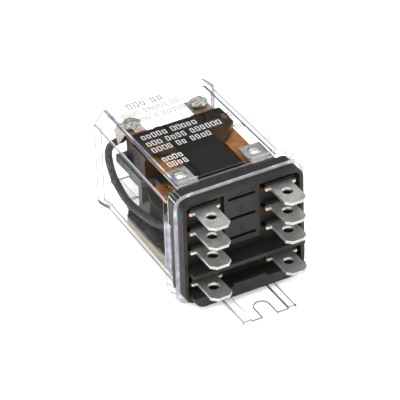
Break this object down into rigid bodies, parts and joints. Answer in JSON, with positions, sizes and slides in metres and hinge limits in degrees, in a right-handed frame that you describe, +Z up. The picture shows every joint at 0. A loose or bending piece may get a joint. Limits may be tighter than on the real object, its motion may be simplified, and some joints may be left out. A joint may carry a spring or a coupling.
{
  "type": "plug in relay",
  "caption": "Plug-in power relay in a clear dust cover with a slotted mounting tab at each end, flat blade terminals in a black header and a hinged armature that switches changeover contacts.",
  "frame": {"origin": "bottom centre of the bounding box: midway between the two tab tips, on the plane the relay is mounted on", "axes": "+Z up from the mounting face; +Y from the terminal end towards the hinge end; +X to the right when looking at the terminals"},
  "size_m": [0.0388, 0.076, 0.035],
  "materials": {
    "clear_cover": "clear polycarbonate, polished",
    "header_moulding": "charcoal moulded plastic, satin",
    "tinned_blade": "tin-plated brass, rolled and sheared",
    "contact_silver": "silver alloy, bright",
    "arm_copper": "copper alloy leaf, lightly tarnished",
    "solder": "dull solder",
    "lead_sleeve": "black insulating sleeve over flexible braid",
    "coil_wire": "enamelled copper wire",
    "coil_tape": "black impregnated cloth tape",
    "base_moulding": "olive-beige phenolic moulding",
    "black_moulding": "black moulded plastic, satin",
    "iron": "plated soft iron, dull",
    "spring_steel": "drawn spring wire"
  },
  "bodies": {
    "relay_base": {"dust_cover": "clear_cover", "header": "header_moulding", "terminal_1_closed": "tinned_blade", "terminal_3_closed": "tinned_blade", "terminal_4_open": "tinned_blade", "terminal_6_open": "tinned_blade", "terminal_7_common": "tinned_blade", "terminal_9_common": "tinned_blade", "terminal_a_coil": "tinned_blade", "terminal_b_coil": "tinned_blade", "closed_contact_left": "contact_silver", "closed_contact_right": "contact_silver", "open_contact_left": "contact_silver", "open_contact_right": "contact_silver", "pigtail_left": "lead_sleeve", "pigtail_right": "lead_sleeve", "coil_lead_left": "coil_wire", "coil_lead_right": "coil_wire", "lead_wrap_left": "coil_tape", "lead_wrap_right": "coil_tape", "frame_screw_left": "iron", "frame_screw_right": "iron", "frame": "iron", "core": "iron", "coil_base": "base_moulding", "bobbin": "black_moulding", "coil_winding": "coil_wire", "coil_tape": "coil_tape", "return_spring": "spring_steel"},
    "armature_assembly": {"armature": "iron", "contact_carrier": "black_moulding", "carrier_rivet_left": "black_moulding", "carrier_rivet_right": "black_moulding", "contact_arm_left": "arm_copper", "contact_arm_right": "arm_copper", "moving_contact_left": "contact_silver", "moving_contact_right": "contact_silver", "solder_joint_left": "solder", "solder_joint_right": "solder"}
  },
  "joints": [
    {"name": "armature_pivot", "type": "hinge", "parent": "relay_base", "child": "armature_assembly", "pos_m": [0, 0.01865, 0.01935], "axis": [1, 0, 0], "range_deg": [0, 3], "stiffness_Nm_per_rad": 0.05, "springref_deg": -11.46, "deforming": ["pigtail_left", "pigtail_right", "return_spring"]}
  ]
}
